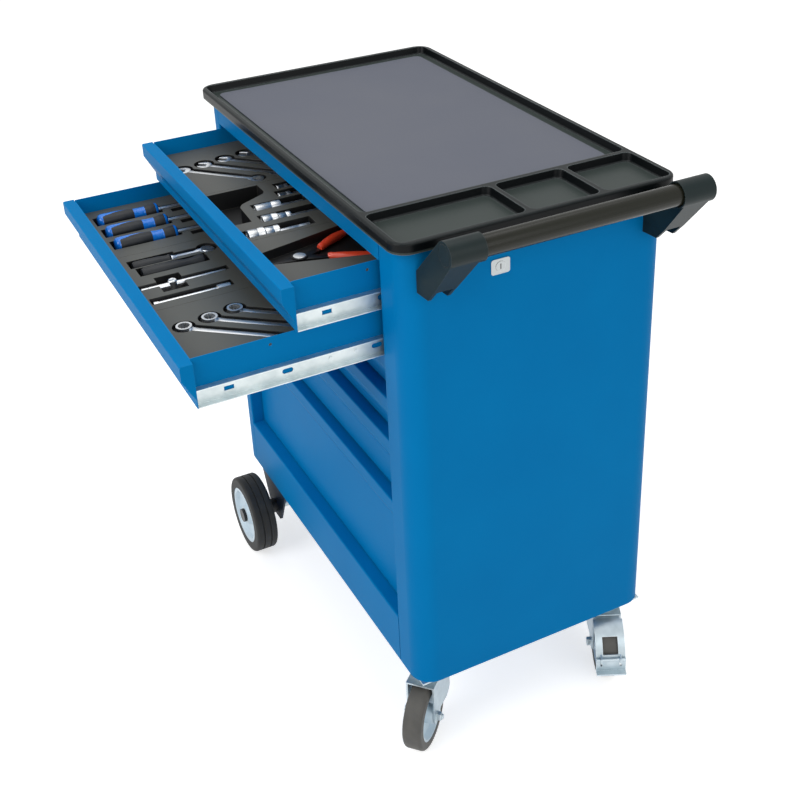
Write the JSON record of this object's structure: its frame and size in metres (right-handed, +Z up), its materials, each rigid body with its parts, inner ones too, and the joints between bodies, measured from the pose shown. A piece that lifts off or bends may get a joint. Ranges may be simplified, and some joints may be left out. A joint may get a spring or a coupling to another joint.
{
  "type": "rolling tool cabinet",
  "caption": "Wheeled sheet metal tool cabinet with a push handle, a worktop tray and drawers on slides, two of them open and filled with hand tools.",
  "frame": {"origin": "on the floor under the middle of the casing", "axes": "+Z up, the drawers face -Y, the push handle and the casters are at the +X end"},
  "size_m": [0.9115, 0.8223, 0.997],
  "materials": {
    "painted_steel": "smooth semi-gloss blue powder coat",
    "black_plastic": "fine-textured black moulding",
    "handle_black": "black coated tube",
    "mat_rubber": "blue-grey fine-ribbed mat",
    "dark_steel": "dark blue paint, in the shade",
    "zinc": "bright zinc plating",
    "lock_chrome": "polished",
    "wheel_grey": "light grey moulding",
    "wheel_tyre": "black solid rubber",
    "caster_tyre": "dark grey rubber",
    "cap_plastic": "black moulding",
    "tray_plastic": "dark grey moulding",
    "tool_chrome": "satin chrome",
    "red_grip": "dipped red grip",
    "blue_grip": "blue and black two-part grip"
  },
  "bodies": {
    "cabinet": {"side_panel_right": "painted_steel", "side_panel_left": "painted_steel", "back_panel": "painted_steel", "floor_pan": "painted_steel", "front_plinth": "painted_steel", "top_frame": "painted_steel", "worktop_tray": "black_plastic", "worktop_mat": "mat_rubber", "runner_uprights": "dark_steel", "cabinet_rails": "zinc", "lock_plate": "lock_chrome", "lock_housing_and_guides": "black_plastic", "handle_tube": "handle_black", "handle_bracket_front": "black_plastic", "handle_bracket_rear": "black_plastic", "handle_screws": "zinc", "axle_brackets": "dark_steel", "axle_shaft": "zinc", "axle_fittings": "cap_plastic", "caster_plates": "zinc"},
    "lock_barrel": {"lock_barrel": "lock_chrome"},
    "lock_bar": {"lock_bar": "zinc"},
    "fixed_wheel_front": {"fixed_wheel_front_rim": "wheel_grey", "fixed_wheel_front_tyre": "wheel_tyre"},
    "caster_front": {"caster_front_fork": "zinc", "caster_front_axle_bolt": "zinc"},
    "caster_front_wheel": {"caster_front_rim": "wheel_grey", "caster_front_tyre": "caster_tyre"},
    "fixed_wheel_rear": {"fixed_wheel_rear_rim": "wheel_grey", "fixed_wheel_rear_tyre": "wheel_tyre"},
    "caster_rear": {"caster_rear_fork": "zinc", "caster_rear_axle_bolt": "zinc", "brake_plate": "zinc"},
    "caster_rear_wheel": {"caster_rear_rim": "wheel_grey", "caster_rear_tyre": "caster_tyre"},
    "brake_pedal": {"brake_pedal": "zinc"},
    "drawer_1": {"drawer_1_box": "painted_steel", "drawer_1_front": "painted_steel", "drawer_1_channels": "zinc", "drawer_1_tool_trays": "tray_plastic", "drawer_1_hand_tools": "tool_chrome", "drawer_1_plier_grips": "red_grip"},
    "drawer_2": {"drawer_2_box": "painted_steel", "drawer_2_front": "painted_steel", "drawer_2_channels": "zinc", "drawer_2_tool_trays": "tray_plastic", "drawer_2_hand_tools": "tool_chrome", "drawer_2_tool_grips": "blue_grip"},
    "drawer_3": {"drawer_3_box": "painted_steel", "drawer_3_front": "painted_steel", "drawer_3_channels": "zinc"},
    "drawer_4": {"drawer_4_box": "painted_steel", "drawer_4_front": "painted_steel", "drawer_4_channels": "zinc"},
    "drawer_5": {"drawer_5_box": "painted_steel", "drawer_5_front": "painted_steel", "drawer_5_channels": "zinc"},
    "drawer_6": {"drawer_6_box": "painted_steel", "drawer_6_front": "painted_steel", "drawer_6_channels": "zinc"}
  },
  "joints": [
    {"name": "drawer_1_slide", "type": "slide", "parent": "cabinet", "child": "drawer_1", "axis": [0, -1, 0], "range_m": [-0.155, 0.2]},
    {"name": "drawer_2_slide", "type": "slide", "parent": "cabinet", "child": "drawer_2", "axis": [0, -1, 0], "range_m": [-0.311, 0.044]},
    {"name": "drawer_3_slide", "type": "slide", "parent": "cabinet", "child": "drawer_3", "axis": [0, -1, 0], "range_m": [0, 0.355]},
    {"name": "drawer_4_slide", "type": "slide", "parent": "cabinet", "child": "drawer_4", "axis": [0, -1, 0], "range_m": [0, 0.355]},
    {"name": "drawer_5_slide", "type": "slide", "parent": "cabinet", "child": "drawer_5", "axis": [0, -1, 0], "range_m": [0, 0.355]},
    {"name": "drawer_6_slide", "type": "slide", "parent": "cabinet", "child": "drawer_6", "axis": [0, -1, 0], "range_m": [0, 0.355]},
    {"name": "lock_turn", "type": "hinge", "parent": "cabinet", "child": "lock_barrel", "pos_m": [0.389, -0.07, 0.893], "axis": [1, 0, 0], "range_deg": [0, 90]},
    {"name": "lock_bar_slide", "type": "slide", "parent": "cabinet", "child": "lock_bar", "axis": [0, 0, 1], "range_m": [0, 0.012]},
    {"name": "fixed_wheel_front_spin", "type": "hinge", "parent": "cabinet", "child": "fixed_wheel_front", "pos_m": [-0.28, -0.266, 0.08], "axis": [0, 1, 0], "continuous": true},
    {"name": "fixed_wheel_rear_spin", "type": "hinge", "parent": "cabinet", "child": "fixed_wheel_rear", "pos_m": [-0.28, 0.266, 0.08], "axis": [0, 1, 0], "continuous": true},
    {"name": "caster_front_swivel", "type": "hinge", "parent": "cabinet", "child": "caster_front", "pos_m": [0.342, -0.178, 0.138], "axis": [0, 0, 1], "continuous": true},
    {"name": "caster_front_spin", "type": "hinge", "parent": "caster_front", "child": "caster_front_wheel", "pos_m": [0.36743, -0.20624, 0.0625], "axis": [0.7431, 0.6691, 0], "continuous": true},
    {"name": "caster_rear_swivel", "type": "hinge", "parent": "cabinet", "child": "caster_rear", "pos_m": [0.342, 0.178, 0.138], "axis": [0, 0, 1], "continuous": true},
    {"name": "caster_rear_spin", "type": "hinge", "parent": "caster_rear", "child": "caster_rear_wheel", "pos_m": [0.37615, 0.16134, 0.0625], "axis": [0.4384, 0.8988, 0], "continuous": true},
    {"name": "brake_pedal_press", "type": "hinge", "parent": "caster_rear", "child": "brake_pedal", "pos_m": [0.43862, 0.13087, 0.0815], "axis": [-0.4384, -0.8988, 0], "range_deg": [0, 18]}
  ],
  "couplings": [
    {"joint": "lock_turn", "follows": "lock_bar_slide", "rad_per_m": 130.9}
  ]
}
